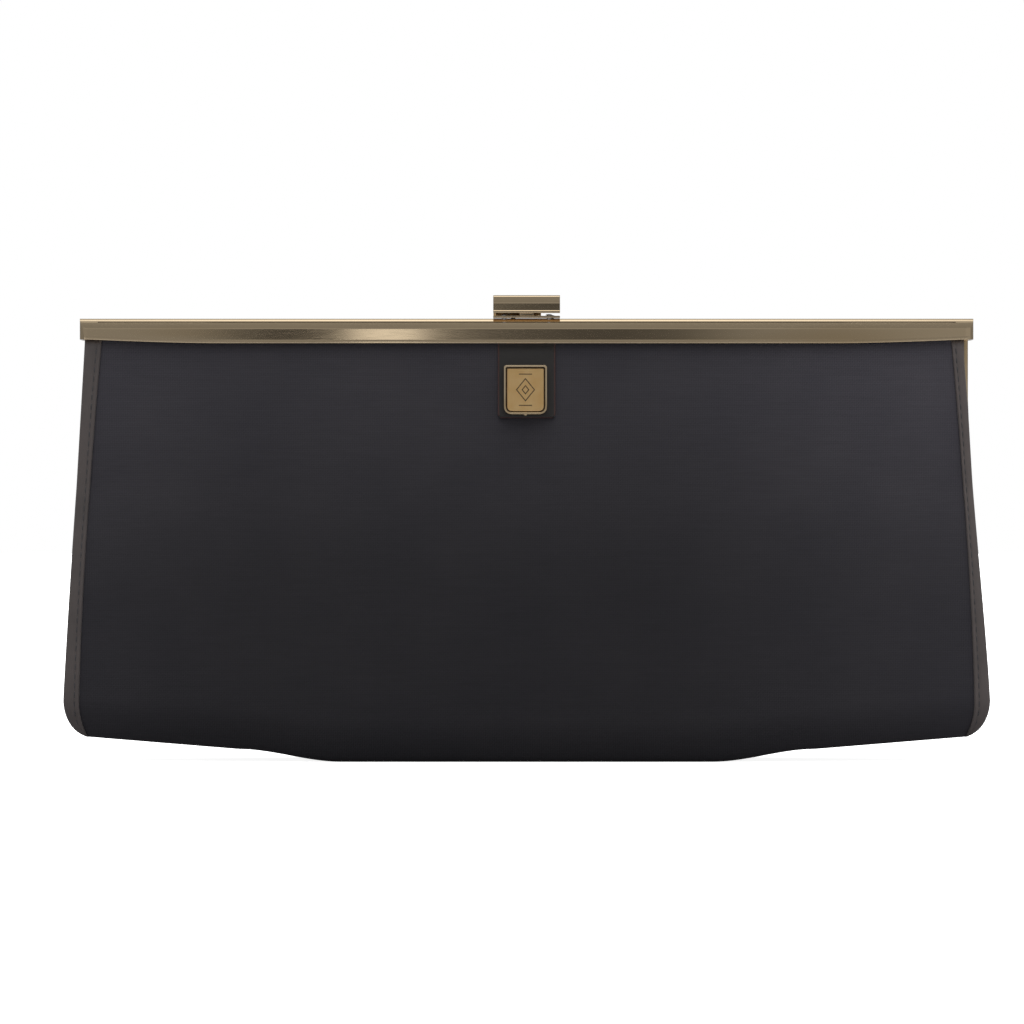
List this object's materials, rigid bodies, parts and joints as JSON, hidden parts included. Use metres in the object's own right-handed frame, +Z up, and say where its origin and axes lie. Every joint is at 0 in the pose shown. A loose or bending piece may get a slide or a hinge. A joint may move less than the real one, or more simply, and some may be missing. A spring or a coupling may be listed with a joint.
{
  "type": "clutch purse",
  "caption": "Long slim clutch purse: black woven cloth body with leather edges, on a hinged metal bar frame that opens along the top and closes with a lift lever.",
  "frame": {"origin": "middle of the flat base, on the surface the purse stands on", "axes": "+X along the bar, -Y out of the front with the plaque, +Z up towards the clasp"},
  "size_m": [0.3102, 0.036, 0.1561],
  "materials": {
    "pale_gold": "polished pale gold plate over brass",
    "satin_gold": "satin warm gold",
    "steel": "plain bright steel",
    "black_cloth": "fine matt black weave, slightly blue",
    "black_leather": "fine-grained black leather with a soft sheen",
    "lining_cloth": "taupe twill lining",
    "board": "grey bag board"
  },
  "bodies": {
    "bag": {"base_panel": "black_cloth", "base_board": "board", "front_panel_lower": "black_cloth", "rear_panel_lower": "black_cloth", "front_stiffener_board": "board", "rear_stiffener_board": "board", "gusset_left": "black_leather", "gusset_right": "black_leather", "lining_pouch": "lining_cloth", "inner_slip_pocket": "lining_cloth", "front_binding_lower_left": "black_leather", "front_binding_lower_right": "black_leather", "rear_binding_lower_left": "black_leather", "rear_binding_lower_right": "black_leather", "hinge_pin_left": "pale_gold", "hinge_pin_right": "pale_gold", "hinge_washer_left": "steel", "hinge_washer_right": "steel"},
    "front_half": {"front_frame": "pale_gold", "front_panel_upper": "black_cloth", "front_lining_upper": "lining_cloth", "front_binding_upper_left": "black_leather", "front_binding_upper_right": "black_leather", "plaque_patch": "black_leather", "plaque_bezel": "pale_gold", "plaque_plate": "satin_gold", "plaque_back_plate": "steel", "front_catch": "pale_gold", "catch_rivet_left": "steel", "catch_rivet_right": "steel"},
    "rear_half": {"rear_frame": "pale_gold", "rear_panel_upper": "black_cloth", "rear_lining_upper": "lining_cloth", "rear_binding_upper_left": "black_leather", "rear_binding_upper_right": "black_leather", "clasp_base_plate": "pale_gold", "clasp_rivet_left": "steel", "clasp_rivet_right": "steel", "clasp_pin": "steel", "clasp_spring": "steel"},
    "lever": {"clasp_lever": "pale_gold"}
  },
  "joints": [
    {"name": "front_open", "type": "hinge", "parent": "bag", "child": "front_half", "pos_m": [0, 0, 0.092], "axis": [1, 0, 0], "range_deg": [0, 30]},
    {"name": "rear_open", "type": "hinge", "parent": "bag", "child": "rear_half", "pos_m": [0, 0, 0.092], "axis": [-1, 0, 0], "range_deg": [0, 30]},
    {"name": "lever_lift", "type": "hinge", "parent": "rear_half", "child": "lever", "pos_m": [0, 0.0034, 0.1523], "axis": [-1, 0, 0], "range_deg": [0, 70], "stiffness_Nm_per_rad": 0.0008, "springref_deg": -28.65, "deforming": ["clasp_spring"]}
  ],
  "couplings": [
    {"joint": "rear_open", "follows": "front_open", "ratio": 1}
  ]
}
